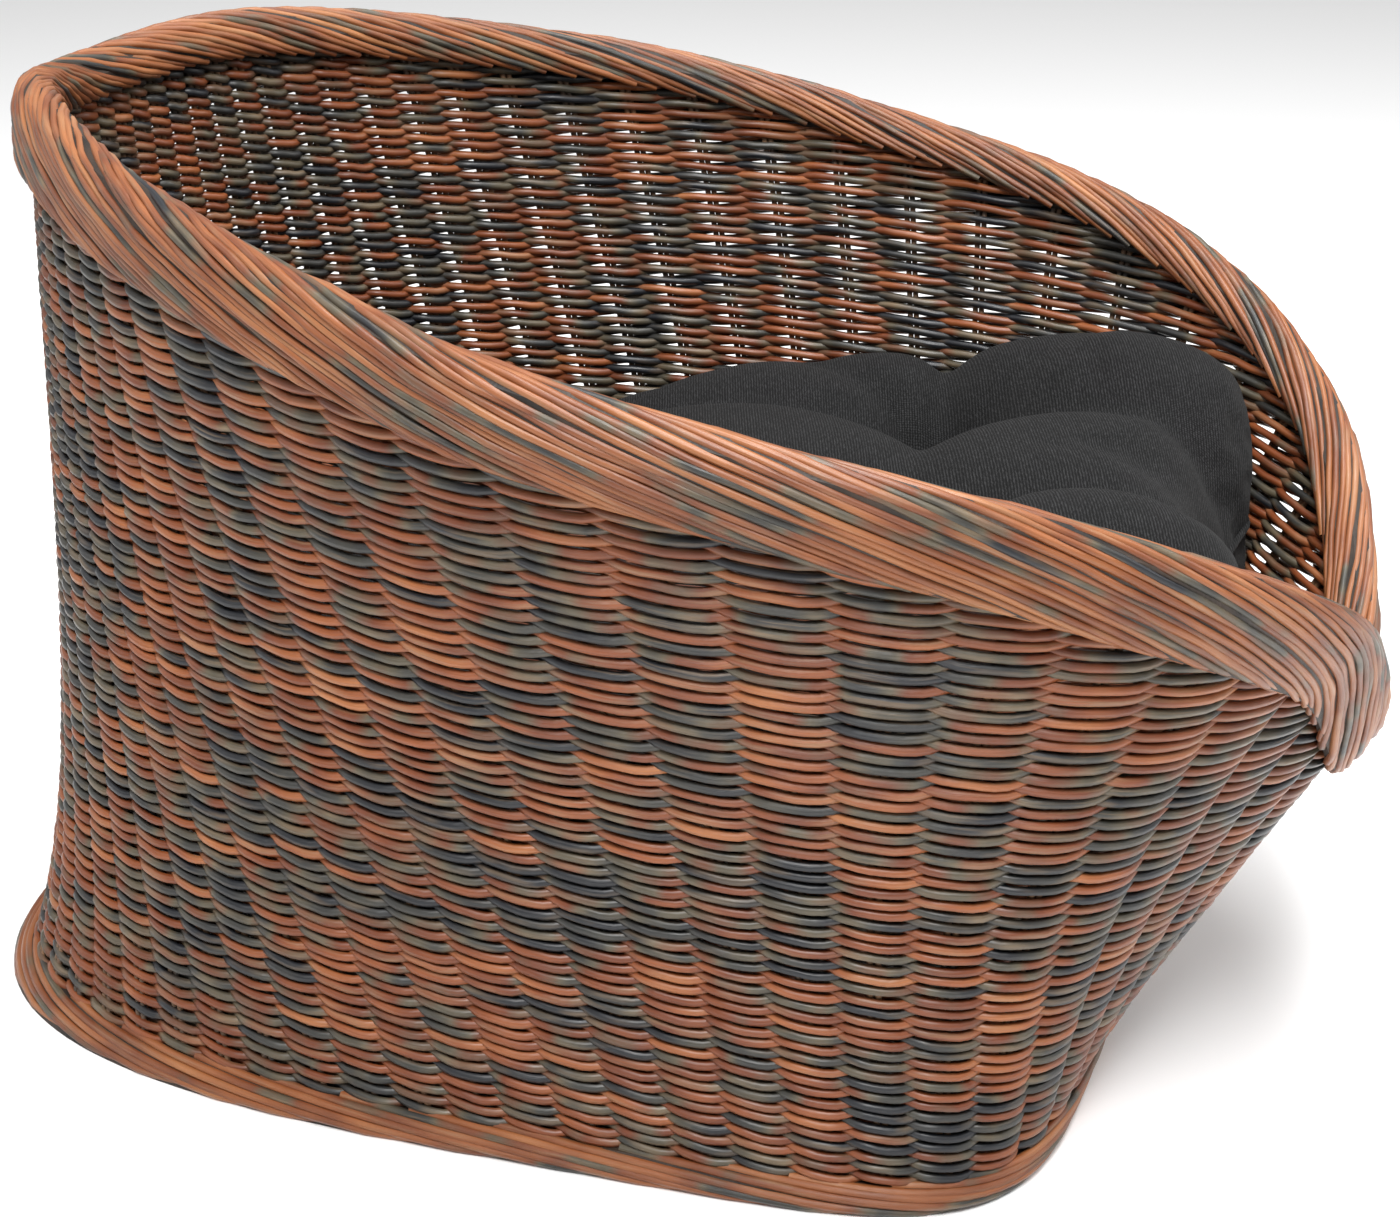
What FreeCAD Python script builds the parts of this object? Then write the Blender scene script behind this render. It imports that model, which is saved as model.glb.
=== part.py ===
"""Wicker pet bed basket: a high-backed woven shell with a low front, and a loose tufted cushion.

Z is up and the front faces -Y. The basket is mirror-symmetric across X = 0 but for a slight skew of its
front rim, as hand weaving leaves it.
Any place on the wall is a turn c (0 back centre, 0.5 right side, 1 front centre, 1.5 left side, 2 back
again), a height fraction v (0 floor, 1 rim) and a depth inward from the wall's outer face.
"""
import FreeCAD, Part
import math
import os

Vec = FreeCAD.Vector

# ---- Driving dimensions, mm ----
# Plan outline at the floor and at the rim: reach forward, reach back, half width and squareness
foot_front, foot_back, foot_half_width = 268.0, 368.0, 239.0
foot_front_squareness, foot_back_squareness = 5.4, 2.9
rim_front, rim_back, rim_half_width = 351.0, 385.0, 311.0
rim_front_squareness, rim_back_squareness = 2.6, 1.66
rim_forward_shift = 53.0
rim_front_skew = 0.07         # the left front corner stands a little further forward than the right one
# How the rim's outline is spread over the same turns as the foot's
rim_spread = (-0.055, -0.037)

# Along half the rim, from back centre (0) to front centre (1)
rim_height = ((0.0, 501.0), (0.2, 509.0), (0.4, 479.0), (0.55, 435.0), (0.7, 387.0), (0.85, 311.0), (1.0, 216.0))
flare_lateness = ((0.0, 0.27), (0.45, 0.44), (0.8, 0.76), (1.0, 0.0))
waist_depth = ((0.0, 31.0), (0.45, 11.0), (1.0, -6.5))
waist_power = 0.588

wall_thickness = 11.0
course_split_height = 150.0    # full rounds of weave below, courses that stop at the sloping rim above

foot_height = 16.0
foot_out = 3.0
foot_in = 15.0

rim_skirt = 46.0               # how far the rolled border hangs down the outside
rim_seat = 23.0                # the border sits on the wall's top edge this far below the rim
rim_out = 7.0
rim_in = 17.0

stake_radius = 1.7
stake_pairs_per_side = 32
stake_half_gap = 2.0
stake_lean = 0.135             # how far the stakes lean back between foot and rim, in turns
stake_bottom = 5.0

floor_top = 178.0              # top of the woven seat floor that the cushion lies on
floor_weave_thickness = 6.0
floor_stick_radius = 3.0
floor_stick_count = 11
floor_stick_reach = 210.0      # half the spread of the sticks from side to side
hoop_radius = 6.0
floor_clearance = 2.6

cushion_gap = 0.4              # air under the cushion
cushion_height = 118.0
cushion_wall_gap = 16.0        # air between the cushion's seam and the wall beside the floor
cushion_edge_inset = 30.0
cushion_back_inset = 12.0       # more air at the back, where the rim leans in over the cushion's path
cushion_thickening = 0.00127    # share gained per mm forward, so the front rides high over the low rim
cushion_front_hollow = 58.0    # how far the front edge pulls in between the two front corners
cover_thickness = 2.0
welt_radius = 2.6
tuft_radius = 9.0
tuft_height = 3.0
tuft_spots = ((100.0, 150.0), (-100.0, 150.0), (100.0, -110.0), (-100.0, -110.0))

stations = 56


# ---- The basket's shape ----
def smooth_between(table, a):
    """Smooth curve through a short table of (a, value), level at both ends."""
    slopes = [0.0]
    for before, after in zip(table, table[2:]):
        slopes.append((after[1] - before[1]) / (after[0] - before[0]))
    slopes.append(0.0)
    k = 0
    while k < len(table) - 2 and a > table[k + 1][0]:
        k += 1
    span = table[k + 1][0] - table[k][0]
    s = min(max((a - table[k][0]) / span, 0.0), 1.0)
    start, end = table[k][1], table[k + 1][1]
    return (start * (1 + 2 * s) * (1 - s) ** 2 + slopes[k] * span * s * (1 - s) ** 2
            + end * s * s * (3 - 2 * s) - slopes[k + 1] * span * s * s * (1 - s))


def half_outline(front, back, half_width, front_squareness, back_squareness, samples=720):
    """Half a D-shaped outline from back centre to front centre, as (fraction of length, out, forward)."""
    points = []
    for i in range(samples + 1):
        u = math.pi * i / samples
        c, s = math.cos(u), abs(math.sin(u))
        reach, n = (front, front_squareness) if c < 0 else (back, back_squareness)
        r = ((abs(c) / reach) ** n + (s / half_width) ** n) ** (-1.0 / n)
        points.append((r * s, -r * c))
    lengths = [0.0]
    for p, q in zip(points, points[1:]):
        lengths.append(lengths[-1] + math.hypot(q[0] - p[0], q[1] - p[1]))
    return [(length / lengths[-1], p[0], p[1]) for length, p in zip(lengths, points)]


def on_outline(outline, a):
    """The place (out, forward) at fraction a of the half outline's length."""
    low, high = 0, len(outline) - 1
    while high - low > 1:
        middle = (low + high) // 2
        if outline[middle][0] <= a:
            low = middle
        else:
            high = middle
    p, q = outline[low], outline[high]
    s = (a - p[0]) / (q[0] - p[0])
    return p[1] + s * (q[1] - p[1]), p[2] + s * (q[2] - p[2])


foot_outline = half_outline(foot_front, foot_back, foot_half_width, foot_front_squareness, foot_back_squareness)
rim_outline = half_outline(rim_front, rim_back, rim_half_width, rim_front_squareness, rim_back_squareness)


def fold(c):
    """Turn c as (side, fraction from back centre to front centre)."""
    c = c % 2.0
    return (1.0, c) if c <= 1.0 else (-1.0, 2.0 - c)


def outer_face(c, v):
    """A point on the wall's outer face."""
    side, a = fold(c)
    x0, f0 = on_outline(foot_outline, a)
    b = a + rim_spread[0] * math.sin(math.pi * a) + rim_spread[1] * math.sin(2 * math.pi * a)
    x1, f1 = on_outline(rim_outline, min(max(b, 0.0), 1.0))
    f1 += rim_forward_shift
    f1 -= max(f1, 0.0) * rim_front_skew * side * x1 / rim_half_width
    late = smooth_between(flare_lateness, a)
    rise = (1 - late) * v + late * v * v
    waist = smooth_between(waist_depth, a) * math.sin(math.pi * max(v, 0.0) ** waist_power)
    reach = foot_front if f0 > 0 else foot_back
    nx, nf = x0 * abs(x0) / foot_half_width ** 3, f0 * abs(f0) / reach ** 3
    size = math.hypot(nx, nf)
    x = x0 + (x1 - x0) * rise - waist * nx / size
    f = f0 + (f1 - f0) * rise - waist * nf / size
    return Vec(side * x, -f, smooth_between(rim_height, a) * v)


def wall_frame(c, v):
    """The outer face's point there, with the directions outward, up the wall and along the turn."""
    step = 0.004
    point = outer_face(c, v)
    along = outer_face(c + step, v) - outer_face(c - step, v)
    up = outer_face(c, min(v + step, 1.0)) - outer_face(c, min(v + step, 1.0) - 2 * step)
    along.normalize()
    outward = up.cross(along)
    outward.normalize()
    if outward.dot(Vec(point.x, point.y, 0)) < 0:
        outward = -outward
    up = outward.cross(along)
    up.normalize()
    if up.z < 0:
        up = -up
    return point, outward, up, along


def height_here(c):
    return smooth_between(rim_height, fold(c)[1])


def slant_here(c):
    """Length of the wall from foot to rim, measured near the rim."""
    return (outer_face(c, 1.0) - outer_face(c, 0.9)).Length / 0.1


def wall_place(c, v, depth):
    """A point inside the wall, depth measured inward from the outer face."""
    point, outward, up, along = wall_frame(c, v)
    return point - outward * depth


def rim_place(c, out, below):
    """A point in the rolled border: out from the wall's outer face, below the rim's line."""
    point, outward, up, along = wall_frame(c, 1.0)
    return point + outward * out - up * below


def level_place(c, z, inward):
    """A point at height z, moved level and inward from the outer face."""
    point, outward, up, along = wall_frame(c, z / height_here(c))
    level = Vec(outward.x, outward.y, 0)
    level.normalize()
    place = point - level * inward
    return Vec(place.x, place.y, z)


# ---- Solids ----
def closed_rail(place):
    """A smooth closed edge through one point per station."""
    points = [place(2.0 * i / stations) for i in range(stations)]
    curve = Part.BSplineCurve()
    curve.interpolate(Points=points, PeriodicFlag=True, Parameters=[float(i) for i in range(stations + 1)])
    return curve.toShape()


def solid_of(faces):
    shell = Part.makeShell(faces)
    shell.sewShape()
    solid = Part.Solid(shell)
    solid.fix(0.01, 0.01, 0.01)
    if solid.Volume < 0:
        solid.reverse()
    return solid


def ring_of(rails, flat_between=None):
    """A ring whose section is the polygon of the rails; one strip of it may be a flat face."""
    faces = []
    for k in range(len(rails)):
        here, there = rails[k], rails[(k + 1) % len(rails)]
        if k == flat_between:
            faces.append(Part.makeFace([Part.Wire(here), Part.Wire(there)], "Part::FaceMakerBullseye"))
        else:
            faces.append(Part.makeRuledSurface(here, there))
    return solid_of(faces)


def stack_of(rails):
    """A solid through level closed rails, with flat ends."""
    faces = [Part.Face(Part.Wire(rails[0])), Part.Face(Part.Wire(rails[-1]))]
    for here, there in zip(rails, rails[1:]):
        faces.append(Part.makeRuledSurface(here, there))
    return solid_of(faces)


def rod_through(points, radius):
    """A round rod with a section square to its run at each point."""
    rings = []
    for k, point in enumerate(points):
        run = points[min(k + 1, len(points) - 1)] - points[max(k - 1, 0)]
        rings.append(Part.Wire(Part.makeCircle(radius, point, run)))
    return Part.makeLoft(rings, True, True)


# ---- The basket's pieces ----
def lower_weave():
    levels = [foot_height + (course_split_height - foot_height) * k / 4.0 for k in range(5)]
    outer = [closed_rail(lambda c, z=z: level_place(c, z, 0.0)) for z in levels]
    inner = [closed_rail(lambda c, z=z: level_place(c, z, wall_thickness)) for z in reversed(levels)]
    return ring_of(outer + inner)


def upper_weave():
    steps = (0.0, 0.2, 0.4, 0.6, 0.8, 1.0)

    def height_at(c, s):
        bottom = course_split_height / height_here(c)
        top = 1.0 - rim_seat / slant_here(c)
        return bottom + (top - bottom) * s

    def outer_place(c, s):
        return wall_place(c, height_at(c, s), 0.0)

    def inner_place(c, s):
        return wall_place(c, height_at(c, s), wall_thickness)

    outer = [closed_rail(lambda c, z=course_split_height: level_place(c, z, 0.0))]
    outer += [closed_rail(lambda c, s=s: outer_place(c, s)) for s in steps[1:]]
    inner = [closed_rail(lambda c, s=s: inner_place(c, s)) for s in reversed(steps[1:])]
    inner += [closed_rail(lambda c, z=course_split_height: level_place(c, z, wall_thickness))]
    return ring_of(outer + inner)


def rim_border():
    edge_gap = 0.5
    section = ((edge_gap, rim_seat), (edge_gap, rim_skirt), (rim_out - 2.0, rim_skirt), (rim_out, 32.0),
               (rim_out - 0.5, 14.0), (rim_out - 4.5, 4.0), (-5.0, 0.0), (-12.5, 3.5), (-rim_in, 12.0),
               (1.0 - rim_in, rim_seat - 1.0))
    return ring_of([closed_rail(lambda c, n=n, w=w: rim_place(c, n, w)) for n, w in section])


def foot_border():
    section = ((0.0, 0.0), (foot_in - 2.0, 0.0), (foot_in, 4.0), (foot_in, foot_height - 4.0),
               (foot_in - 3.0, foot_height), (0.0, foot_height), (-foot_out, foot_height - 5.0), (-foot_out, 4.0))
    return ring_of([closed_rail(lambda c, n=n, z=z: level_place(c, z, n)) for n, z in section], flat_between=0)


def stake_turn(start, v):
    """A stake's turn at height v: it leans towards the back on the way up."""
    side, a = fold(start)
    return side * (a - stake_lean * math.sin(math.pi * a) ** 1.3 * v)


def stake_pair(start):
    """Two rods side by side in the middle of the wall, from inside the foot border to inside the rim."""
    rods = []
    for offset in (-stake_half_gap, stake_half_gap):
        points = []
        for k in range(8):
            low = stake_bottom / height_here(start)
            high = 1.0 - 10.0 / slant_here(start)
            v = low + (high - low) * k / 7.0
            point, outward, up, along = wall_frame(stake_turn(start, v), v)
            points.append(point - outward * (wall_thickness / 2) + along * offset)
        rods.append(rod_through(points, stake_radius))
    return rods


def stakes_between(first, last):
    rods = []
    for k in range(first, last):
        rods += stake_pair((k + 0.5) / stake_pairs_per_side)
    return Part.Compound(rods)


def floor_outline(z, clearance):
    return closed_rail(lambda c: level_place(c, z, wall_thickness + clearance))


def floor_weave():
    face = Part.Face(Part.Wire(floor_outline(floor_top - floor_weave_thickness, floor_clearance)))
    return face.extrude(Vec(0, 0, floor_weave_thickness))


def stick_ends(x, z):
    """Where a stick along Y at this x and height meets the wall's inner face, back end then front end."""
    line = [level_place(k / 400.0, z, wall_thickness + floor_clearance) for k in range(401)]
    inside = [point.y for point in line if point.x > abs(x)]
    return max(inside), min(inside)


def floor_sticks():
    height = floor_top - floor_weave_thickness - floor_stick_radius
    rods = []
    for k in range(floor_stick_count):
        x = 2 * floor_stick_reach * (k / (floor_stick_count - 1.0) - 0.5)
        back, front = stick_ends(abs(x) + floor_stick_radius, height)
        rods.append(Part.makeCylinder(floor_stick_radius, back - front, Vec(x, front, height), Vec(0, 1, 0)))
    return Part.Compound(rods)


def floor_hoop():
    middle = floor_top - floor_weave_thickness - 2 * floor_stick_radius - hoop_radius
    depth = wall_thickness + floor_clearance + hoop_radius
    rails = []
    for k in range(8):
        turn = 2 * math.pi * k / 8
        n, z = hoop_radius * math.cos(turn), hoop_radius * math.sin(turn)
        rails.append(closed_rail(lambda c, n=n, z=z: level_place(c, middle, depth + n) + Vec(0, 0, z)))
    return ring_of(rails)


# ---- The cushion's pieces ----
cushion_bottom = floor_top + cushion_gap
seam_height = cushion_bottom + 0.5 * cushion_height


def eased(a, start, end):
    """Smooth step from 0 at start to 1 at end."""
    s = min(max((a - start) / (end - start), 0.0), 1.0)
    return s * s * (3 - 2 * s)


def cushion_place(c, z, inset):
    """A point on the pillow's outline: beside the floor at the back, spreading with the wall at the front.

    Heights above the cushion's bottom grow towards the front.
    """
    side, a = fold(c)
    back_inset = cushion_back_inset * eased(a, 0.55, 0.3)
    beside = min(floor_top + (z - floor_top) * 1.35 * eased(a, 0.42, 0.72), 0.92 * height_here(c))
    place = level_place(c, beside, wall_thickness + cushion_wall_gap + back_inset + inset)
    y = place.y + cushion_front_hollow * eased(a, 0.8, 1.0)
    return Vec(place.x, y, z - (z - cushion_bottom) * cushion_thickening * y)


def pillow_levels(shrink, above, below):
    """(height, inset) pairs of the pillow's outside moved inward by shrink, above or below the seam."""
    levels = []
    for lift, inset in ((0.0, cushion_edge_inset), (0.12, 14.0), (0.5, 0.0)):
        if below:
            levels.append((cushion_bottom + shrink + lift * (cushion_height - 2 * shrink), inset + shrink))
    for lift, inset in ((0.5, 0.0), (0.85, 12.0), (1.0, cushion_edge_inset)):
        if above:
            levels.append((cushion_bottom + shrink + lift * (cushion_height - 2 * shrink), inset + shrink))
    return levels


def rails_at(levels):
    return [closed_rail(lambda c, z=z, i=i: cushion_place(c, z, i)) for z, i in levels]


def cushion_filling():
    levels = pillow_levels(cover_thickness, True, True)
    return stack_of(rails_at(levels[:3] + levels[4:]))


def cover_panel(above):
    """Half of the fabric cover, cut from the pillow's outside less its filling."""
    outside = stack_of(rails_at(pillow_levels(0.0, above, not above)))
    inside = stack_of(rails_at(pillow_levels(cover_thickness, above, not above)))
    return outside.cut(inside)


def cushion_welt():
    rails = []
    for k in range(6):
        turn = 2 * math.pi * (k + 0.5) / 6
        n, z = welt_radius * math.cos(turn), welt_radius * math.sin(turn)
        rails.append(closed_rail(lambda c, n=n, z=z: cushion_place(c, seam_height + z, -welt_radius - 0.1 - n)))
    return ring_of(rails)


def cushion_tufts():
    slope = cushion_height * cushion_thickening
    discs = []
    for x, forward in tuft_spots:
        top = cushion_bottom + cushion_height + slope * forward
        discs.append(Part.makeCylinder(tuft_radius, tuft_height, Vec(x, -forward, top), Vec(0, slope, 1)))
    return Part.Compound(discs)


def build_all():
    count = stake_pairs_per_side
    pieces = {
        "foot_border": foot_border(),
        "wall_weave_lower": lower_weave(),
        "wall_weave_upper": upper_weave(),
        "rim_border": rim_border(),
        "stakes_back": Part.Compound([stakes_between(0, 7), stakes_between(-7, 0)]),
        "stakes_right": stakes_between(7, count - 7),
        "stakes_left": stakes_between(7 - count, -7),
        "stakes_front": Part.Compound([stakes_between(count - 7, count), stakes_between(-count, 7 - count)]),
        "floor_hoop": floor_hoop(),
        "floor_sticks": floor_sticks(),
        "floor_weave": floor_weave(),
        "cushion_filling": cushion_filling(),
        "cushion_top_cover": cover_panel(True),
        "cushion_bottom_cover": cover_panel(False),
        "cushion_welt": cushion_welt(),
        "cushion_tufts": cushion_tufts(),
    }
    return pieces


os.makedirs("parts", exist_ok=True)
pieces = build_all()
low = min(piece.BoundBox.YMin for piece in pieces.values())
high = max(piece.BoundBox.YMax for piece in pieces.values())
for name, piece in pieces.items():
    piece.translate(Vec(0, -(low + high) / 2, 0))
    piece.exportStep("parts/" + name + ".step")
    box = piece.BoundBox
    print(name, piece.isValid(), len(piece.Solids), round(piece.Volume / 1000.0, 1), "cm3",
          [round(value, 1) for value in (box.XMin, box.XMax, box.YMin, box.YMax, box.ZMin, box.ZMax)])
print("moved back by", round((low + high) / 2, 2))
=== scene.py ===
"""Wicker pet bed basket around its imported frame: woven rattan strands, rolled rim, floor and cushion.

Metres, Z up, the front faces -Y. A place on the wall is a turn (0 back centre, 0.5 right side, 1 front
centre, 1.5 left side), a height fraction (0 floor, 1 rim) and a depth inward from the outer face.
"""
import math
import bmesh
import bpy
import numpy as np
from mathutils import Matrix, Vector


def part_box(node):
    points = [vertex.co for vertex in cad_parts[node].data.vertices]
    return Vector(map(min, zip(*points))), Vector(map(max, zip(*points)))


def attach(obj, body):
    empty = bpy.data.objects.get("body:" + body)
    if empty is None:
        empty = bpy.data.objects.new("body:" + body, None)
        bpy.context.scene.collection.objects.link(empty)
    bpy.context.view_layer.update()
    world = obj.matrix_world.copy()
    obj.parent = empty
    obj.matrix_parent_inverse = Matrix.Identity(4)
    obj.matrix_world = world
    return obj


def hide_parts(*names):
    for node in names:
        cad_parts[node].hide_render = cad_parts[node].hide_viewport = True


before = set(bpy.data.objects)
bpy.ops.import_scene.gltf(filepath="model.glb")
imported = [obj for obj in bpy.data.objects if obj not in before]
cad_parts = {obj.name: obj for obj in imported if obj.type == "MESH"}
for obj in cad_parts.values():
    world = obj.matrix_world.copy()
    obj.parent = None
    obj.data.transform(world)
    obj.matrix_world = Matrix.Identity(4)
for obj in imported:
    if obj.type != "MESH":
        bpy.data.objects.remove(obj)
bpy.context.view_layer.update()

MM = 0.001

# ---- Driving dimensions, mm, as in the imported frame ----
foot = dict(front=268.0, back=368.0, half_width=239.0, front_squareness=5.4, back_squareness=2.9)
rim = dict(front=351.0, back=385.0, half_width=311.0, front_squareness=2.6, back_squareness=1.66)
rim_forward_shift = 53.0
rim_front_skew = 0.07
rim_spread = (-0.055, -0.037)
rim_height = ((0.0, 501.0), (0.2, 509.0), (0.4, 479.0), (0.55, 435.0), (0.7, 387.0), (0.85, 311.0),
              (1.0, 216.0))
flare_lateness = ((0.0, 0.27), (0.45, 0.44), (0.8, 0.76), (1.0, 0.0))
waist_depth = ((0.0, 31.0), (0.45, 11.0), (1.0, -6.5))
waist_power = 0.588
foot_out = 3.0
foot_height = 16.0
rim_seat = 23.0
wall_thickness = 11.0
stake_pairs = 32
stake_lean = 0.135

# ---- Weave ----
row_pitch = 6.3
strand_radius = 2.5
strand_swing = 3.4             # how far a strand swings in and out of the wall's middle
strand_twist = 1.35            # how far the two strands of a row pass above and below each other
strand_sag = 0.2               # how far a strand drops where it passes outside a stake
steps_per_stake = 7
weave_bands = 6
border_overlap = 14.0          # the strands run on this far under the rolled border
border_radius = 2.15
border_strands = 132
border_run = 0.34              # turns that one border strand covers from inside to the skirt
foot_strands = 40
foot_run = 0.27
floor_pitch = 5.2
bevel_steps = 1                # bevel resolution of every strand
strand_sides = 4 + 2 * bevel_steps

chance = np.random.RandomState(7)


# ---- The basket's shape, on numpy arrays ----
def smooth_between(table, a):
    """Smooth curve through a short table of (a, value), level at both ends."""
    knots = np.array([k for k, value in table])
    values = np.array([value for k, value in table])
    slopes = np.zeros(len(table))
    slopes[1:-1] = (values[2:] - values[:-2]) / (knots[2:] - knots[:-2])
    k = np.clip(np.searchsorted(knots, a) - 1, 0, len(table) - 2)
    span = knots[k + 1] - knots[k]
    s = np.clip((a - knots[k]) / span, 0.0, 1.0)
    return (values[k] * (1 + 2 * s) * (1 - s) ** 2 + slopes[k] * span * s * (1 - s) ** 2
            + values[k + 1] * s * s * (3 - 2 * s) - slopes[k + 1] * span * s * s * (1 - s))


def half_outline(front, back, half_width, front_squareness, back_squareness):
    """Half a D-shaped outline from back centre to front centre: fraction of length, out, forward."""
    u = np.linspace(0.0, math.pi, 1441)
    c, s = np.cos(u), np.abs(np.sin(u))
    reach = np.where(c < 0, front, back)
    n = np.where(c < 0, front_squareness, back_squareness)
    r = ((np.abs(c) / reach) ** n + (s / half_width) ** n) ** (-1.0 / n)
    out, forward = r * s, -r * c
    length = np.concatenate([[0.0], np.cumsum(np.hypot(np.diff(out), np.diff(forward)))])
    return length / length[-1], out, forward


foot_outline = half_outline(**foot)
rim_outline = half_outline(**rim)
# The frame's origin is its box's centre in plan, so the foot's own centre lies a little behind it
foot_centre_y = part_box("foot_border")[1][1] / MM - foot["back"]


def fold(c):
    c = np.mod(c, 2.0)
    return np.where(c <= 1.0, 1.0, -1.0), np.where(c <= 1.0, c, 2.0 - c)


def outer_face(c, v):
    """Points on the wall's outer face, in mm, for arrays of turns and height fractions."""
    side, a = fold(c)
    length, out, forward = foot_outline
    x0, f0 = np.interp(a, length, out), np.interp(a, length, forward)
    b = np.clip(a + rim_spread[0] * np.sin(math.pi * a) + rim_spread[1] * np.sin(2 * math.pi * a), 0.0, 1.0)
    length, out, forward = rim_outline
    x1, f1 = np.interp(b, length, out), np.interp(b, length, forward) + rim_forward_shift
    f1 = f1 - np.maximum(f1, 0.0) * rim_front_skew * side * x1 / rim["half_width"]
    late = smooth_between(flare_lateness, a)
    rise = (1 - late) * v + late * v * v
    waist = smooth_between(waist_depth, a) * np.sin(math.pi * np.maximum(v, 0.0) ** waist_power)
    reach = np.where(f0 > 0, foot["front"], foot["back"])
    nx, nf = x0 * np.abs(x0) / foot["half_width"] ** 3, f0 * np.abs(f0) / reach ** 3
    size = np.hypot(nx, nf)
    x = x0 + (x1 - x0) * rise - waist * nx / size
    f = f0 + (f1 - f0) * rise - waist * nf / size
    return np.stack([side * x, foot_centre_y - f, height_here(c) * v], axis=-1)


def height_here(c):
    return smooth_between(rim_height, fold(c)[1])


def unit(vectors):
    return vectors / np.linalg.norm(vectors, axis=-1, keepdims=True)


def wall_frame(c, v):
    """Points on the outer face, with the directions outward and up the wall."""
    step = 0.004
    top = np.minimum(v + step, 1.0)
    point = outer_face(c, v)
    along = unit(outer_face(c + step, v) - outer_face(c - step, v))
    up = outer_face(c, top) - outer_face(c, top - 2 * step)
    outward = unit(np.cross(up, along))
    outward = outward * np.sign((outward[..., :2] * point[..., :2]).sum(-1))[..., None]
    up = unit(np.cross(outward, along))
    up = up * np.sign(up[..., 2])[..., None]
    return point, outward, up


def slant_here(c):
    ones = np.ones_like(c)
    return np.linalg.norm(outer_face(c, ones) - outer_face(c, 0.9 * ones), axis=-1) / 0.1


def wall_place(c, v, depth):
    point, outward, up = wall_frame(c, v)
    return point - outward * depth[..., None]


def level_place(c, z, inward):
    """Points at height z, moved level and inward from the outer face."""
    point, outward, up = wall_frame(c, z / height_here(c))
    level = unit(outward * np.array([1.0, 1.0, 0.0]))
    place = point - level * np.asarray(inward)[..., None]
    place[..., 2] = z
    return place


def stake_turn(start, v):
    """The turn that a stake starting there has reached at height v: it leans back on the way up."""
    side, a = fold(start)
    return side * (a - stake_lean * np.sin(math.pi * a) ** 1.3 * v)


# ---- Strands ----
def wander(count, size, waves=5, longest=3):
    """Smooth random wandering along a closed run of count points."""
    t = np.linspace(0.0, 2 * math.pi, count, endpoint=False)
    line = np.zeros(count)
    for k in range(waves):
        cycles = chance.randint(longest, longest * 12)
        line += chance.uniform(-1, 1) * np.sin(cycles * t + chance.uniform(0, 2 * math.pi))
    return line * size / math.sqrt(waves)


class Bundle:
    """Round strands gathered into one piece, each with its own tone and its length along it."""

    def __init__(self, name):
        self.name = name
        self.curve = bpy.data.curves.new(name + "_lines", "CURVE")
        self.curve.dimensions = "3D"
        self.curve.bevel_depth = 1.0
        self.curve.bevel_resolution = bevel_steps
        self.curve.use_fill_caps = False
        self.marks = []

    def add(self, points, radius, tone, closed=False):
        """points in mm; radius in mm, one value or one per point."""
        spline = self.curve.splines.new("POLY")
        spline.points.add(len(points) - 1)
        spline.points.foreach_set("co", np.c_[points * MM, np.ones(len(points))].ravel())
        radii = np.broadcast_to(np.asarray(radius, dtype=float) * MM, len(points))
        spline.points.foreach_set("radius", radii.ravel())
        spline.use_cyclic_u = closed
        lengths = np.linalg.norm(np.diff(points, axis=0), axis=1)
        along = np.concatenate([[0.0], np.cumsum(lengths)]) * MM
        self.marks.append((along, tone))

    def finish(self, material, body="basket", replaces=(), slot="rattan_weave"):
        holder = bpy.data.objects.new(self.name + "_lines", self.curve)
        bpy.context.scene.collection.objects.link(holder)
        bpy.context.view_layer.update()
        evaluated = holder.evaluated_get(bpy.context.evaluated_depsgraph_get())
        mesh = bpy.data.meshes.new_from_object(evaluated)
        bpy.data.objects.remove(holder)
        bpy.data.curves.remove(self.curve)
        along = np.concatenate([np.repeat(run, strand_sides) for run, tone in self.marks])
        tones = np.concatenate([np.full(len(run) * strand_sides, tone) for run, tone in self.marks])
        turn = np.tile(np.arange(strand_sides) / strand_sides, sum(len(run) for run, tone in self.marks))
        if len(along) != len(mesh.vertices):
            raise RuntimeError(self.name + ": strand marks and vertices differ")
        layer = mesh.attributes.new("strand", "FLOAT_VECTOR", "POINT")
        layer.data.foreach_set("vector", np.c_[along, tones, turn].ravel())
        mesh.polygons.foreach_set("use_smooth", np.ones(len(mesh.polygons), dtype=bool))
        mesh.materials.clear()
        mesh.materials.append(material)
        piece = bpy.data.objects.new(self.name, mesh)
        bpy.context.scene.collection.objects.link(piece)
        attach(piece, body)
        if replaces:
            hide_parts(*replaces)
        return piece


# ---- Materials ----
class Socket:
    """A shader value that takes Python arithmetic."""

    def __init__(self, tree, socket):
        self.tree = tree
        self.socket = socket

    def math(self, operation, other=0.0, swap=False):
        node = self.tree.nodes.new("ShaderNodeMath")
        node.operation = operation
        pair = (other, self) if swap else (self, other)
        for place, value in zip(node.inputs, pair):
            if isinstance(value, Socket):
                self.tree.links.new(value.socket, place)
            else:
                place.default_value = value
        return Socket(self.tree, node.outputs[0])

    def __add__(self, other):
        return self.math("ADD", other)

    def __mul__(self, other):
        return self.math("MULTIPLY", other)

    def __sub__(self, other):
        return self.math("SUBTRACT", other)

    def __rsub__(self, other):
        return self.math("SUBTRACT", other, True)

    __radd__ = __add__
    __rmul__ = __mul__


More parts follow.
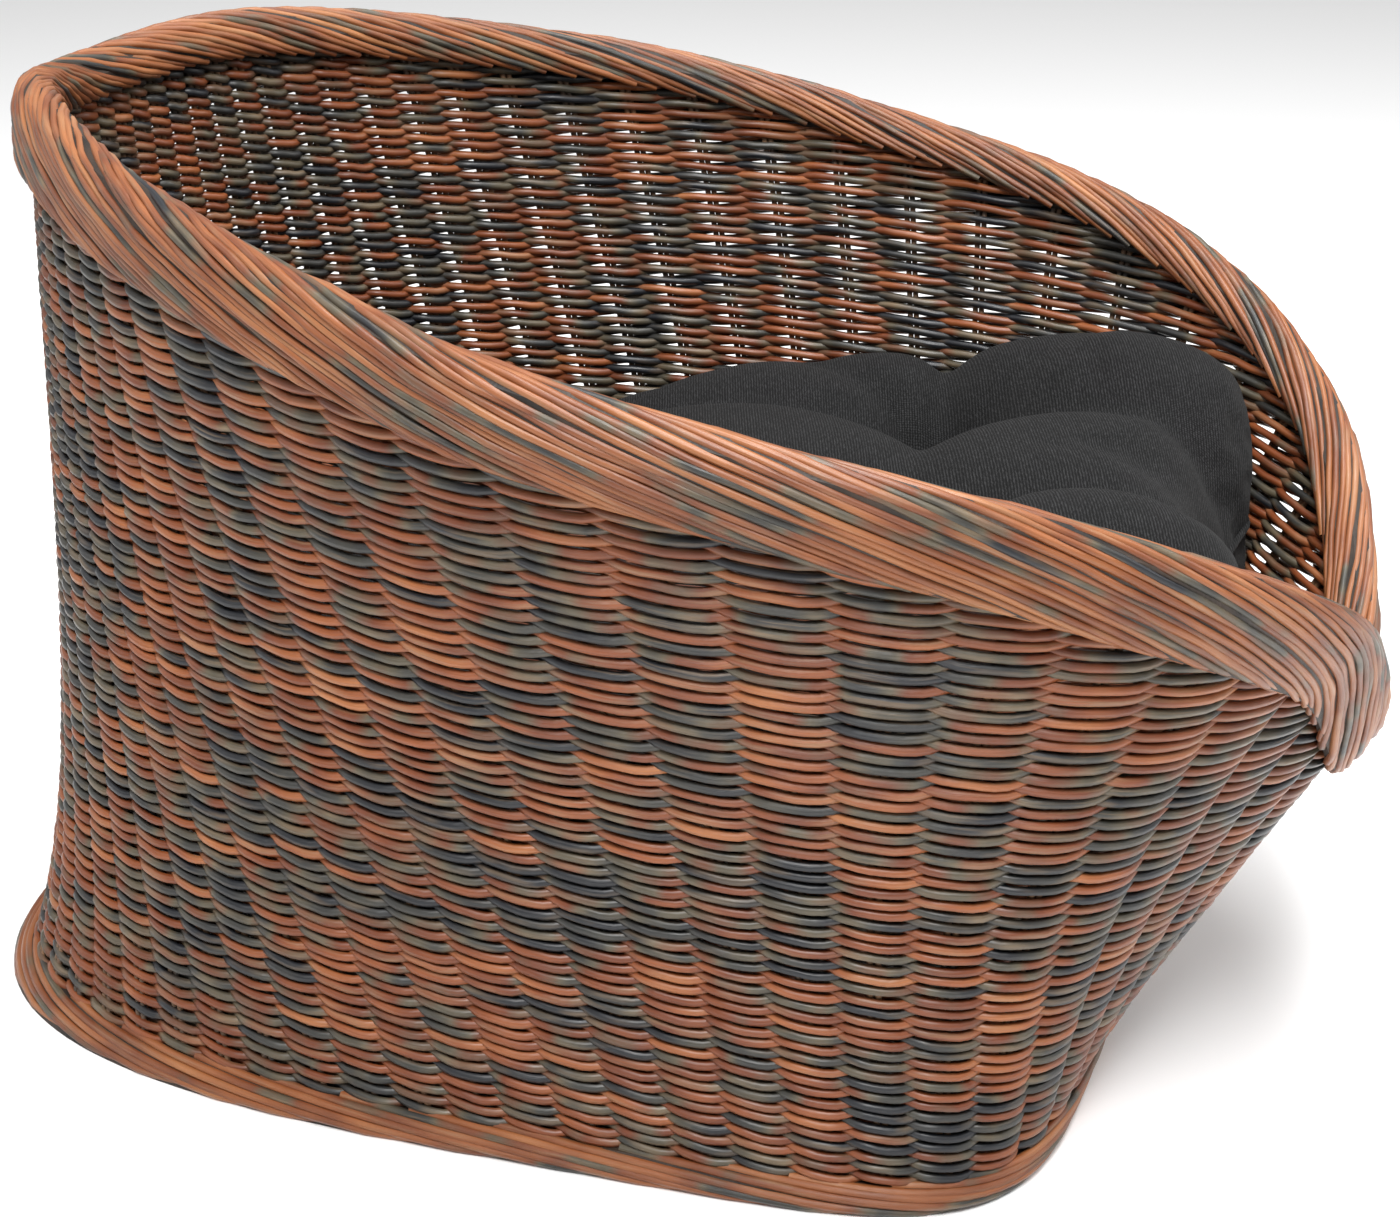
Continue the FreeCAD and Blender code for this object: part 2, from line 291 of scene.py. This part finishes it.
class Finish:
    """A material being built: nodes are made by type, with settings first and then socket values."""

    def __init__(self, name):
        self.material = bpy.data.materials.new(name)
        self.material.use_nodes = True
        self.tree = self.material.node_tree
        self.shader = self.tree.nodes["Principled BSDF"]

    def node(self, kind, settings=(), inputs=(), output=0):
        node = self.tree.nodes.new("ShaderNode" + kind)
        for name, value in dict(settings).items():
            if name == "stops":
                while len(node.color_ramp.elements) < len(value):
                    node.color_ramp.elements.new(0.5)
                for element, (place, colour) in zip(node.color_ramp.elements, value):
                    element.position = place
                    element.color = tuple(colour) + (1.0,)
            else:
                setattr(node, name, value)
        for name, value in dict(inputs).items():
            if isinstance(value, Socket):
                self.tree.links.new(value.socket, node.inputs[name])
            else:
                node.inputs[name].default_value = value
        return Socket(self.tree, node.outputs[output])

    def mix(self, factor, low, high, blend="MIX"):
        """Mix two colours; the Mix node's factor, A, B and result for colours are reached by number."""
        low, high = [value if isinstance(value, Socket) else tuple(value) + (1.0,) for value in (low, high)]
        return self.node("Mix", {"data_type": "RGBA", "blend_type": blend}, {0: factor, 6: low, 7: high}, 2)

    def set(self, **inputs):
        for name, value in inputs.items():
            place = self.shader.inputs[name.replace("_", " ")]
            if isinstance(value, Socket):
                self.tree.links.new(value.socket, place)
            else:
                place.default_value = value


def rattan(name, slate_share, reds):
    """Stained rattan: tones change from strand to strand, along each one and in patches of the wall."""
    finish = Finish(name)
    strand = finish.node("Attribute", {"attribute_name": "strand"}, output=1)
    parts = finish.node("SeparateXYZ", (), {"Vector": strand}).socket.node
    along, tone, turn = (Socket(finish.tree, out) for out in parts.outputs)

    def pattern(x, y, z, detail=2.0, roughness=0.5):
        place = finish.node("CombineXYZ", (), {"X": x, "Y": y, "Z": z})
        return finish.node("TexNoise", (), {"Vector": place, "Scale": 1.0, "Detail": detail,
                                            "Roughness": roughness})

    place = finish.node("TexCoord", output=3)
    body = finish.node("Mapping", (), {"Vector": place, "Scale": (16.0, 16.0, 9.0)})
    patch = finish.node("TexNoise", (), {"Vector": body, "Scale": 1.0, "Detail": 2.0})
    blotch = pattern(along * 8.0, tone * 391.0, 0.0, 3.0, 0.55) * 0.78 + patch * 0.22
    tones = ((0.0, (0.006, 0.007, 0.010)), (slate_share - 0.07, (0.012, 0.015, 0.021)),
             (slate_share - 0.02, (0.042, 0.045, 0.040)), (slate_share + 0.005, (0.100, 0.090, 0.060)),
             (slate_share + 0.035, reds[0]), (slate_share + 0.11, reds[1]), (slate_share + 0.24, reds[2]))
    stain = finish.node("ValToRGB", {"stops": tones}, {"Fac": blotch})
    grain = pattern(along * 110.0, tone * 77.0, turn * 9.0, 3.0, 0.6)
    fibre = pattern(along * 30.0, tone * 131.0, turn * 34.0, 2.0, 0.5)
    fade = pattern(along * 30.0, tone * 53.0, turn * 2.0, 2.0, 0.5)
    shaded = finish.mix(grain * 0.6, stain, (0.66, 0.52, 0.42), "SOFT_LIGHT")
    worn = finish.node("MapRange", (), {"Value": fade, "From Min": 0.52, "From Max": 0.76}) * 0.42
    worn = finish.mix(worn, shaded, (0.36, 0.25, 0.145))
    streaked = finish.mix(fibre * 0.75, worn, (0.33, 0.25, 0.195), "MULTIPLY")
    rough = finish.node("MapRange", (), {"Value": grain, "To Min": 0.30, "To Max": 0.56})
    bump = finish.node("Bump", (), {"Strength": 0.4, "Distance": 0.0006, "Height": fibre * 0.7 + grain * 0.5})
    finish.set(Base_Color=streaked, Roughness=rough, Normal=bump, IOR=1.48, Coat_Weight=0.08,
               Coat_Roughness=0.25)
    return finish.material


def stake_rattan(name, light, dark):
    """Rattan rods and bundles kept from the frame, coloured by place."""
    finish = Finish(name)
    place = finish.node("TexCoord", output=3)
    soft = finish.node("TexNoise", (), {"Vector": place, "Scale": 42.0, "Detail": 4.0})
    stretched = finish.node("Mapping", (), {"Vector": place, "Scale": (900.0, 900.0, 45.0)})
    fibre = finish.node("TexNoise", (), {"Vector": stretched, "Scale": 1.0, "Detail": 2.0})
    colour = finish.node("ValToRGB", {"stops": ((0.35, dark), (0.62, light))}, {"Fac": soft})
    colour = finish.mix(fibre * 0.5, colour, (0.3, 0.25, 0.2), "MULTIPLY")
    rough = finish.node("MapRange", (), {"Value": fibre, "To Min": 0.45, "To Max": 0.7})
    bump = finish.node("Bump", (), {"Strength": 0.4, "Distance": 0.0005, "Height": fibre})
    finish.set(Base_Color=colour, Roughness=rough, Normal=bump, IOR=1.46)
    return finish.material


def cushion_cloth():
    """Charcoal cloth with fine ribs across the basket and slubs in the yarn."""
    finish = Finish("charcoal_ribbed_cloth")
    place = finish.node("Mapping", (), {"Vector": finish.node("TexCoord", output=3),
                                        "Rotation": (0.0, 0.0, math.radians(-16.5))})
    bend = finish.node("TexNoise", (), {"Vector": place, "Scale": 60.0, "Detail": 2.0})
    ribs = finish.node("TexWave", {"wave_type": "BANDS", "bands_direction": "Y", "wave_profile": "SIN"},
                       {"Vector": place, "Scale": 205.0, "Distortion": 2.2, "Detail": 2.0,
                        "Detail Scale": 3.0})
    slubs = finish.node("TexNoise", (), {
        "Vector": finish.node("Mapping", (), {"Vector": place, "Scale": (240.0, 1100.0, 800.0)}),
        "Scale": 1.0, "Detail": 3.0, "Roughness": 0.65})
    threads = finish.node("TexWave", {"wave_type": "BANDS", "bands_direction": "X", "wave_profile": "SIN"},
                          {"Vector": place, "Scale": 330.0, "Distortion": 2.5, "Detail": 2.0})
    weave = ribs * 0.30 + slubs * 0.75 + threads * 0.15
    colour = finish.node("ValToRGB", {"stops": (
        (0.30, (0.003, 0.003, 0.003)), (0.60, (0.008, 0.008, 0.0082)), (0.90, (0.040, 0.040, 0.041)))},
        {"Fac": weave})
    colour = finish.mix(bend * 0.35, colour, (0.02, 0.02, 0.021), "OVERLAY")
    bump = finish.node("Bump", (), {"Strength": 0.55, "Distance": 0.0009, "Height": weave})
    rough = finish.node("MapRange", (), {"Value": slubs, "To Min": 0.82, "To Max": 0.98})
    finish.set(Base_Color=colour, Roughness=rough, Normal=bump, Sheen_Weight=0.02, Sheen_Roughness=0.5,
               Specular_IOR_Level=0.12)
    return finish.material


weave_rattan = rattan("weave_rattan", 0.478, ((0.155, 0.041, 0.013), (0.280, 0.086, 0.027),
                                              (0.440, 0.180, 0.065)))
border_rattan = rattan("border_rattan", 0.425, ((0.180, 0.055, 0.019), (0.305, 0.108, 0.036),
                                                (0.435, 0.190, 0.074)))
rod_rattan = stake_rattan("rod_rattan", (0.24, 0.13, 0.065), (0.030, 0.026, 0.024))
core_rattan = stake_rattan("core_rattan", (0.045, 0.028, 0.018), (0.012, 0.009, 0.007))


# ---- The woven wall ----
def woven_wall():
    """Rows of paired strands that twist about each other between the stakes and stop under the border."""
    count = 2 * stake_pairs * steps_per_stake
    start = 2.0 * np.arange(count) / count
    top = height_here(start).max() - rim_seat
    rows = int((top - foot_height) / row_pitch) + 1
    bundles = [Bundle("weave_band_%d" % (k + 1)) for k in range(weave_bands)]
    phase = math.pi * (start * stake_pairs - 0.5)
    for row in range(rows):
        z = foot_height + (row + 0.5) * row_pitch + wander(count, 0.6)
        v = z / height_here(start)
        for again in range(5):
            c = stake_turn(start, v)
            v = np.minimum(z / height_here(c), 1.0)
        limit = 1.0 - (rim_seat + strand_radius - border_overlap) / slant_here(c)
        inside = v < limit
        for strand in (0, 1):
            swing = np.cos(phase + math.pi * strand)
            bow = np.tanh(1.5 * swing) / math.tanh(1.5)
            depth = wall_thickness / 2 - strand_swing * bow + wander(count, 0.25)
            lift = strand_twist * np.sin(phase + math.pi * strand) - strand_sag * np.maximum(swing, 0.0)
            points = wall_place(c, (z + lift + wander(count, 0.35, 6, 12)) / height_here(c), depth)
            radius = strand_radius * chance.uniform(0.92, 1.06) * (1.0 + wander(count, 0.05))
            tone = chance.uniform(0, 1)
            add_runs(bundles[row * weave_bands // rows], points, radius, tone, inside)
    for k, bundle in enumerate(bundles):
        replaced = {0: ("wall_weave_lower",), weave_bands - 1: ("wall_weave_upper",)}.get(k, ())
        bundle.finish(weave_rattan, replaces=replaced)


def add_runs(bundle, points, radius, tone, inside):
    """Add a closed round, or the separate stretches of it that lie inside the wall."""
    if inside.all():
        bundle.add(points, radius, tone, closed=True)
        return
    first = int(np.argmin(inside))
    order = np.roll(np.arange(len(points)), -first)
    flags = inside[order]
    edges = np.flatnonzero(np.diff(np.concatenate([[False], flags, [False]]).astype(int)))
    for low, high in zip(edges[::2], edges[1::2]):
        if high - low > 2 * steps_per_stake:
            chosen = order[low:high]
            bundle.add(points[chosen], radius[chosen], tone)


# ---- The rolled rim border ----
border_section = ((-13.5, 24.5), (-16.4, 20.5), (-16.6, 12.0), (-12.0, 4.0), (-5.0, 0.7), (2.2, 4.4),
                  (6.1, 14.2), (6.7, 32.0), (5.2, 44.0), (1.5, 46.5))   # outward, below the rim


def on_section(section, s):
    """Points at fraction s of a section line's length, as two arrays."""
    line = np.array(section)
    length = np.concatenate([[0.0], np.cumsum(np.linalg.norm(np.diff(line, axis=0), axis=1))])
    return np.interp(s, length / length[-1], line[:, 0]), np.interp(s, length / length[-1], line[:, 1])


def rolled_border():
    """Strands that come up inside, roll over the rim and run down the outside at a low angle."""
    steps = 46
    bundle = Bundle("rim_border_strands")
    for k in range(border_strands):
        s = np.linspace(0.0, 1.0, steps)
        out, below = on_section(border_section, np.clip(s + wander(steps, 0.006, 4, 1), 0.0, 1.0))
        c = 2.0 * (k + chance.uniform(-0.3, 0.3)) / border_strands - border_run * s
        point, outward, up = wall_frame(c, np.ones_like(c))
        loose = wander(steps, 0.5, 4, 1) + chance.uniform(-0.9, 0.9)
        points = point + outward * (out + loose)[:, None] - up * below[:, None]
        radius = border_radius * chance.uniform(0.85, 1.1) * (1 + wander(steps, 0.05, 4, 1))
        bundle.add(points, radius, chance.uniform(0, 1))
    bundle.finish(border_rattan, slot="rattan_border")


# ---- The foot border ----
foot_section = ((1.5, 2.3), (-2.0, 2.6), (-3.2, 6.0), (-2.6, 10.5), (-0.5, 14.0), (3.0, 16.5))   # inward, up


def foot_border():
    """Strands that climb round the outside of the foot at a low angle."""
    steps = 28
    bundle = Bundle("foot_border_strands")
    for k in range(foot_strands):
        s = np.linspace(0.0, 1.0, steps)
        inward, z = on_section(foot_section, s)
        c = 2.0 * (k + chance.uniform(-0.25, 0.25)) / foot_strands + foot_run * s
        points = level_place(c, np.maximum(z + wander(steps, 0.2, 4, 1), strand_radius + 0.15), inward)
        bundle.add(points, strand_radius, chance.uniform(0, 1))
    bundle.finish(border_rattan, slot="rattan_border")


# ---- The seat floor ----
def woven_floor():
    """Strands woven over and under the floor sticks."""
    (x0, y0, z0), (x1, y1, z1) = [[value / MM for value in corner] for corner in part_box("floor_weave")]
    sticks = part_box("floor_sticks")
    stick_low, stick_high = sticks[0][2] / MM, sticks[1][2] / MM
    spacing = (sticks[1][0] - sticks[0][0]) / MM / 10.15
    middle, swing = (stick_low + stick_high) / 2, (stick_high - stick_low) / 2 + strand_radius
    turns = np.linspace(0.0, 1.0, 721)
    edge = level_place(turns, np.full(721, middle), np.full(721, wall_thickness + 3.0))
    order = np.argsort(edge[:, 1])
    bundle = Bundle("floor_strands")
    for k in range(int((y1 - y0) / floor_pitch)):
        y = y0 + (k + 0.5) * floor_pitch
        reach = np.interp(y, edge[order, 1], edge[order, 0], left=0.0, right=0.0)
        if reach < 30.0:
            continue
        x = np.linspace(-reach, reach, int(2 * reach / 7.0) + 2)
        side = 1.0 if k % 2 else -1.0
        z = middle + side * swing * np.cos(math.pi * x / spacing)
        points = np.stack([x, np.full_like(x, y) + wander(len(x), 0.3, 4, 1), z], axis=-1)
        bundle.add(points, strand_radius, chance.uniform(0, 1))
    bundle.finish(weave_rattan, replaces=("floor_weave",))


def finish_frame_nodes():
    """The frame's own rods and bundle cores keep their shape and get their finish."""
    finishes = {"rod_rattan": ("stakes_back", "stakes_right", "stakes_left", "stakes_front", "floor_sticks",
                               "floor_hoop"),
                "core_rattan": ("rim_border", "foot_border")}
    for material, nodes in finishes.items():
        for name in nodes:
            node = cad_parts[name]
            for place in node.material_slots:
                place.material = bpy.data.materials[material]


woven_wall()
rolled_border()
foot_border()
woven_floor()
finish_frame_nodes()


# ---- The cushion ----
tuft_spots = ((100.0, 150.0), (-100.0, 150.0), (100.0, -110.0), (-100.0, -110.0))   # right, forward
cushion_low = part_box("cushion_bottom_cover")[0][2] / MM
cushion_height = 118.0
cushion_thickening = 0.00127   # share gained per mm forward
cushion_wall_gap = 16.0
cushion_back_inset = 12.0
cushion_front_hollow = 58.0    # how far the front edge pulls in between the two front corners
cushion_centre = np.array([0.0, (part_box("cushion_welt")[0][1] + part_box("cushion_welt")[1][1]) / MM / 2])
pillow_steps = 18
pillow_voxel = 6.0


def eased(a, start, end):
    s = np.clip((a - start) / (end - start), 0.0, 1.0)
    return s * s * (3 - 2 * s)


def outline_reach(lift, inset):
    """How far the cushion's outline lies from its centre in each direction, at a share of its thickness."""
    c = np.linspace(0.0, 2.0, 721)
    side, a = fold(c)
    z = cushion_low + lift * cushion_height
    beside = np.minimum(z + (z - cushion_low) * 0.35, 0.92 * height_here(c))
    beside = np.where(a < 0.42, cushion_low, cushion_low + (beside - cushion_low) * eased(a, 0.42, 0.72))
    depth = wall_thickness + cushion_wall_gap + cushion_back_inset * eased(a, 0.55, 0.3) + inset
    line = level_place(c, beside, depth)[:, :2]
    line[:, 1] += cushion_front_hollow * eased(a, 0.8, 1.0)
    line = line - cushion_centre
    angle, reach = np.arctan2(line[:, 1], line[:, 0]), np.hypot(line[:, 0], line[:, 1])
    order = np.argsort(angle)
    return angle[order], reach[order]


seam_outline = outline_reach(0.5, 0.0)
shoulder_outline = outline_reach(0.85, 4.0)


def reach_at(angle, shoulder=0.0):
    """The seam's reach in a direction, or with shoulder 1 that of the fuller ring above it."""
    seam = np.interp(angle, *seam_outline, period=2 * math.pi)
    return seam + shoulder * (np.interp(angle, *shoulder_outline, period=2 * math.pi) - seam)


def mesh_points(mesh):
    flat = np.empty(3 * len(mesh.vertices))
    mesh.vertices.foreach_get("co", flat)
    return flat.reshape(-1, 3) / MM


def set_points(mesh, points):
    mesh.vertices.foreach_set("co", (points * MM).ravel())
    mesh.update()


def seam_level(y):
    """Height of the seam at this place from front to back."""
    return cushion_low + 0.5 * cushion_height * (1.0 - cushion_thickening * y)


def pillow_shape(points):
    """Turn a unit sphere's points into the pillow: crowned on top, flatter below, fullest at the front."""
    angle = np.arctan2(points[:, 1], points[:, 0])
    flat = np.hypot(points[:, 0], points[:, 1])
    bend = np.arctan2(points[:, 2], flat)
    out = np.cos(bend) ** 0.40
    slack = 1.0 - 0.018 * np.cos(2.0 * angle) ** 8
    reach = (reach_at(angle, np.clip(bend / 0.6, 0.0, 1.0)) - 7.0) * slack * out
    rise = np.sign(points[:, 2]) * np.abs(np.sin(bend)) ** 0.62
    x = cushion_centre[0] + reach * np.cos(angle)
    y = cushion_centre[1] + reach * np.sin(angle)
    seam = seam_level(y)
    below = seam - cushion_low
    lobe = 24.0 * eased(-y, 90.0, 220.0) * eased(np.abs(x), 50.0, 150.0) - 14.0 * eased(y, 0.0, 260.0)
    z = seam + np.where(rise > 0, rise * (below + 4.0 + lobe), np.maximum(rise * below * 1.3, -below))
    return np.stack([x, y, z], axis=-1)


def creases():
    """Folds that the tufts pull into the top: from each tuft to its neighbours and to the nearest edges."""
    spots = [np.array([x, foot_centre_y - forward]) for x, forward in tuft_spots]
    lines = []
    for spot in spots:
        side = math.copysign(1.0, spot[0])
        front = -1.0 if spot[1] < cushion_centre[1] else 1.0
        lines.append((spot, spot + np.array([side * 130.0, 28.0]), 24.0, 14.0))
        lines.append((spot, spot + np.array([side * 70.0, front * 60.0]), 5.0, 13.0))
        lines.append((spot, spot + np.array([-side * 40.0, front * 150.0]), 20.0, 20.0))
        lines.append((spot, spot + np.array([side * 75.0, -front * 95.0]), 13.0, 12.0))
    for first, second in ((0, 1), (2, 3), (0, 2), (1, 3)):
        lines.append((spots[first], spots[second], 15.0, 20.0))
    return spots, lines


def press_tufts(points, share):
    """Pull the top down at the tufts and along the creases between them."""
    spots, lines = creases()
    top = np.clip((points[:, 2] - seam_level(points[:, 1]) - 6.0) / 30.0, 0.0, 1.0)
    drop = np.zeros(len(points))
    for spot in spots:
        away = np.hypot(points[:, 0] - spot[0], points[:, 1] - spot[1])
        drop += 19.0 * np.exp(-away / 13.0) + 26.0 * np.exp(-(away / 66.0) ** 2)
    for start, end, depth, width in lines:
        run = end - start
        t = np.clip(((points[:, :2] - start) @ run) / (run @ run), 0.0, 1.0)
        middle = start + t[:, None] * run
        away = np.hypot(points[:, 0] - middle[:, 0], points[:, 1] - middle[:, 1])
        drop += depth * (1 - 0.5 * t) * np.exp(-np.abs(away / width) ** 1.5)
    points[:, 2] -= share * top * drop
    return points


def keep_within(points):
    """Keep the cushion off the floor and inside its seam line."""
    offset = points[:, :2] - cushion_centre
    angle = np.arctan2(offset[:, 1], offset[:, 0])
    reach = np.hypot(offset[:, 0], offset[:, 1])
    limit = reach_at(angle, np.clip((points[:, 2] - seam_level(points[:, 1])) / 30.0, 0.0, 1.0)) - 1.0
    offset *= (np.minimum(reach, limit) / np.maximum(reach, 1e-6))[:, None]
    points[:, :2] = cushion_centre + offset
    points[:, 2] = np.maximum(points[:, 2], cushion_low + 0.4)
    return points


def inflate(pillow, start):
    """Let the cover swell under its filling, held at its base and at the tufts that lie above the seam."""
    mesh = pillow.data
    spots, lines = creases()
    held = np.zeros(len(start), dtype=bool)
    for spot in spots:
        near = np.hypot(start[:, 0] - spot[0], start[:, 1] - spot[1]) < 7.0
        held |= near & (start[:, 2] > seam_level(spot[1]))
    held |= start[:, 2] < cushion_low + 3.0
    group = pillow.vertex_groups.new(name="held")
    group.add([int(k) for k in np.flatnonzero(held)], 1.0, "REPLACE")
    cloth = pillow.modifiers.new("cover", "CLOTH")
    cloth.settings.quality = 5
    cloth.settings.mass = 0.3
    cloth.settings.tension_stiffness = 12.0
    cloth.settings.compression_stiffness = 12.0
    cloth.settings.bending_stiffness = 0.4
    cloth.settings.use_pressure = True
    cloth.settings.uniform_pressure_force = 2.6
    cloth.settings.shrink_min = -0.05
    cloth.settings.effector_weights.gravity = 0.0
    cloth.settings.vertex_group_mass = "held"
    cloth.point_cache.frame_start, cloth.point_cache.frame_end = 1, pillow_steps
    for step in range(1, pillow_steps + 1):
        bpy.context.scene.frame_set(step)
    swollen = pillow.evaluated_get(bpy.context.evaluated_depsgraph_get())
    points = mesh_points(swollen.to_mesh())
    swollen.to_mesh_clear()
    pillow.modifiers.remove(cloth)
    pillow.vertex_groups.remove(group)
    bpy.context.scene.frame_set(1)
    move = points - start
    length = np.linalg.norm(move, axis=1, keepdims=True)
    return start + move * np.minimum(1.0, 14.0 / np.maximum(length, 1e-6))


def seam_welt(points, cloth):
    """A piped seam round the cushion, laid at the edge of the swollen cover."""
    near = np.abs(points[:, 2] - seam_level(points[:, 1])) < 7.0
    offset = points[near, :2] - cushion_centre
    angle, reach = np.arctan2(offset[:, 1], offset[:, 0]), np.hypot(offset[:, 0], offset[:, 1])
    count = 240
    turns = np.linspace(-math.pi, math.pi, count, endpoint=False)
    widest = np.empty(count)
    for k, turn in enumerate(turns):
        beside = np.abs(np.angle(np.exp(1j * (angle - turn)))) < 0.03
        widest[k] = np.percentile(reach[beside], 65)
    spread = np.hanning(7) / np.hanning(7).sum()
    widest = np.convolve(np.concatenate([widest[-3:], widest, widest[:3]]), spread, "valid")
    widest = np.minimum(widest + 0.2, reach_at(turns) + 1.5)
    x, y = cushion_centre[0] + widest * np.cos(turns), cushion_centre[1] + widest * np.sin(turns)
    line = np.stack([x, y, seam_level(y) + wander(count, 0.8, 4, 2)], axis=-1)
    bundle = Bundle("cushion_seam")
    bundle.add(line, 2.0, 0.5, closed=True)
    bundle.finish(cloth, "cushion", ("cushion_welt",), "cushion_fabric")


def tuft_stitches(points, cloth):
    """Short crossed stitches that hold each tuft down.

    Known fault: the two rear tufts are pulled below the seam level, so no cover point is found at them and
    their stitches collapse to the origin.
    """
    bundle = Bundle("cushion_tuft_stitches")
    top = points[points[:, 2] > seam_level(points[:, 1])]
    for x, forward in tuft_spots:
        y = foot_centre_y - forward
        near = np.hypot(top[:, 0] - x, top[:, 1] - y) < 6.0
        level = top[near, 2].mean()
        for turn in (0.3, 1.2, 2.3):
            s = np.linspace(-1.0, 1.0, 9)
            line = np.stack([x + 6.0 * s * math.cos(turn), y + 6.0 * s * math.sin(turn),
                             level + 2.4 * (1 - s * s) - 0.8], axis=-1)
            bundle.add(line, 0.8, chance.uniform(0, 1))
    bundle.finish(cloth, "cushion", ("cushion_tufts",), "cushion_fabric")


def cushion():
    cloth = cushion_cloth()
    bm = bmesh.new()
    bmesh.ops.create_uvsphere(bm, u_segments=128, v_segments=64, radius=1.0)
    mesh = bpy.data.meshes.new("cushion_cover")
    bm.to_mesh(mesh)
    bm.free()
    set_points(mesh, pillow_shape(mesh_points(mesh) * MM))
    pillow = bpy.data.objects.new("cushion_cover", mesh)
    bpy.context.scene.collection.objects.link(pillow)
    remesh = pillow.modifiers.new("even_mesh", "REMESH")
    remesh.mode = "VOXEL"
    remesh.voxel_size = pillow_voxel * MM
    evaluated = pillow.evaluated_get(bpy.context.evaluated_depsgraph_get())
    pillow.data = bpy.data.meshes.new_from_object(evaluated)
    pillow.modifiers.clear()
    pillow.data.name = "cushion_cover_mesh"
    points = press_tufts(mesh_points(pillow.data), 0.85)
    set_points(pillow.data, points)
    points = inflate(pillow, points)
    points = keep_within(press_tufts(points, 0.3))
    set_points(pillow.data, points)
    pillow.data.polygons.foreach_set("use_smooth", np.ones(len(pillow.data.polygons), dtype=bool))
    pillow.data.materials.clear()
    pillow.data.materials.append(cloth)
    smoother = pillow.modifiers.new("smooth_cover", "SUBSURF")
    smoother.levels = 1
    smoother.render_levels = 1
    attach(pillow, "cushion")
    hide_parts("cushion_filling", "cushion_top_cover", "cushion_bottom_cover")
    seam_welt(points, cloth)
    tuft_stitches(points, cloth)


cushion()


# ---- Studio ----
def studio():
    bm = bmesh.new()
    bmesh.ops.create_grid(bm, x_segments=1, y_segments=1, size=30.0)
    mesh = bpy.data.meshes.new("studio_floor")
    bm.to_mesh(mesh)
    bm.free()
    floor = bpy.data.objects.new("studio_floor", mesh)
    bpy.context.scene.collection.objects.link(floor)
    finish = Finish("pale_floor")
    finish.set(Base_Color=(0.92, 0.92, 0.92, 1.0), Roughness=0.9)
    mesh.materials.append(finish.material)
    world = bpy.data.worlds.new("studio")
    world.use_nodes = True
    background = world.node_tree.nodes["Background"]
    background.inputs["Color"].default_value = (1.0, 1.0, 1.0, 1.0)
    background.inputs["Strength"].default_value = 0.5
    bpy.context.scene.world = world
    bpy.context.scene.view_settings.view_transform = "Standard"
    lamps = (("key_light", (-1.7, -0.5, 2.6), 0.9, 88.0), ("fill_light", (-0.6, 2.4, 1.8), 2.0, 14.0),
             ("top_light", (0.2, -0.2, 2.8), 1.2, 70.0), ("front_light", (0.7, -2.2, 1.8), 1.6, 24.0))
    for name, place, size, power in lamps:
        lamp = bpy.data.lights.new(name, "AREA")
        lamp.energy = power
        lamp.size = size
        holder = bpy.data.objects.new(name, lamp)
        holder.location = place
        aim = Vector((0, 0, 0.25)) - Vector(place)
        holder.rotation_euler = aim.to_track_quat("-Z", "Y").to_euler()
        bpy.context.scene.collection.objects.link(holder)


def side_camera():
    """The camera stands off the left side, a little towards the front."""
    swing, rise, distance = math.radians(-73.45), math.radians(24.03), 1.475
    target = Vector((0.0, (foot_centre_y - 22.4) * MM, 0.171))
    back = Vector((math.sin(swing) * math.cos(rise), -math.cos(swing) * math.cos(rise), math.sin(rise)))
    camera = bpy.data.cameras.new("camera")
    camera.sensor_width = 36.0
    camera.lens = 67.1
    camera.shift_x = 0.0147
    camera.shift_y = 0.0505
    camera.clip_start = 0.05
    holder = bpy.data.objects.new("camera", camera)
    holder.location = target + back * distance
    holder.rotation_euler = (-back).to_track_quat("-Z", "Y").to_euler()
    bpy.context.scene.collection.objects.link(holder)
    bpy.context.scene.camera = holder


studio()
side_camera()
